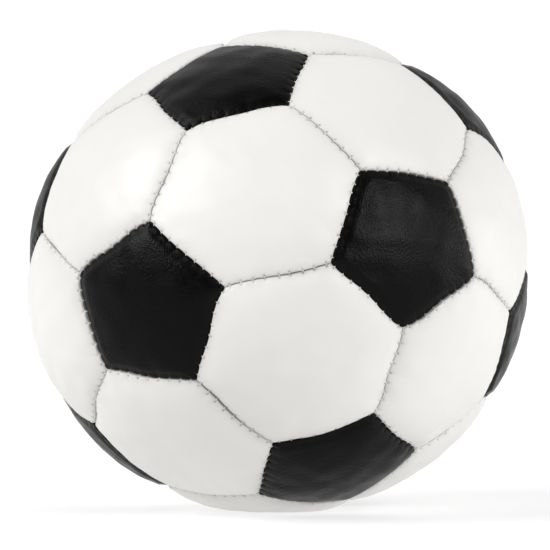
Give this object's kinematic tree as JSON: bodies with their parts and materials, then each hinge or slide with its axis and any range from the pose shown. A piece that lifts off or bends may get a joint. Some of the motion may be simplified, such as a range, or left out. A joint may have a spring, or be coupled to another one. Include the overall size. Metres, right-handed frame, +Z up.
{
  "type": "medicine ball",
  "caption": "Small soft stuffed medicine ball sewn from black pentagon and white hexagon synthetic leather panels, with a sand-weighted core.",
  "frame": {"origin": "centre of the flat that the ball has settled onto, under the base hexagon", "axes": "+Z up; the panel pattern's hexagon axis leans 6.2 degrees from +Z towards +X; +X towards the side that one upper pentagon faces; +Y completes the right-handed frame"},
  "size_m": [0.153, 0.153, 0.143],
  "materials": {
    "black_leather": "satin",
    "white_leather": "satin",
    "stitching_thread": "matte",
    "polyester_fibre": "matte",
    "bag_cloth": "matte",
    "sand": "matte",
    "tie_cord": "matte"
  },
  "bodies": {
    "root": {"bag_tie": "tie_cord", "black_panel_lower_1": "black_leather", "black_panel_lower_2": "black_leather", "black_panel_lower_3": "black_leather", "black_panel_mid_lower_1": "black_leather", "black_panel_mid_lower_2": "black_leather", "black_panel_mid_lower_3": "black_leather", "black_panel_mid_upper_1": "black_leather", "black_panel_mid_upper_2": "black_leather", "black_panel_mid_upper_3": "black_leather", "black_panel_upper_1": "black_leather", "black_panel_upper_2": "black_leather", "black_panel_upper_3": "black_leather", "black_stitching_lower_1": "stitching_thread", "black_stitching_lower_2": "stitching_thread", "black_stitching_lower_3": "stitching_thread", "black_stitching_mid_lower_1": "stitching_thread", "black_stitching_mid_lower_2": "stitching_thread", "black_stitching_mid_lower_3": "stitching_thread", "black_stitching_mid_upper_1": "stitching_thread", "black_stitching_mid_upper_2": "stitching_thread", "black_stitching_mid_upper_3": "stitching_thread", "black_stitching_upper_1": "stitching_thread", "black_stitching_upper_2": "stitching_thread", "black_stitching_upper_3": "stitching_thread", "closing_stitching": "stitching_thread", "fibre_stuffing": "polyester_fibre", "sand_bag": "bag_cloth", "sand_fill": "sand", "white_panel_base": "white_leather", "white_panel_belt_lower_1": "white_leather", "white_panel_belt_lower_2": "white_leather", "white_panel_belt_lower_3": "white_leather", "white_panel_belt_lower_4": "white_leather", "white_panel_belt_lower_5": "white_leather", "white_panel_belt_lower_6": "white_leather", "white_panel_belt_upper_1": "white_leather", "white_panel_belt_upper_2": "white_leather", "white_panel_belt_upper_3": "white_leather", "white_panel_belt_upper_4": "white_leather", "white_panel_belt_upper_5": "white_leather", "white_panel_belt_upper_6": "white_leather", "white_panel_crown": "white_leather", "white_panel_haunch_1": "white_leather", "white_panel_haunch_2": "white_leather", "white_panel_haunch_3": "white_leather", "white_panel_shoulder_1": "white_leather", "white_panel_shoulder_2": "white_leather", "white_panel_shoulder_3": "white_leather", "white_stitching": "stitching_thread"}
  },
  "joints": []
}
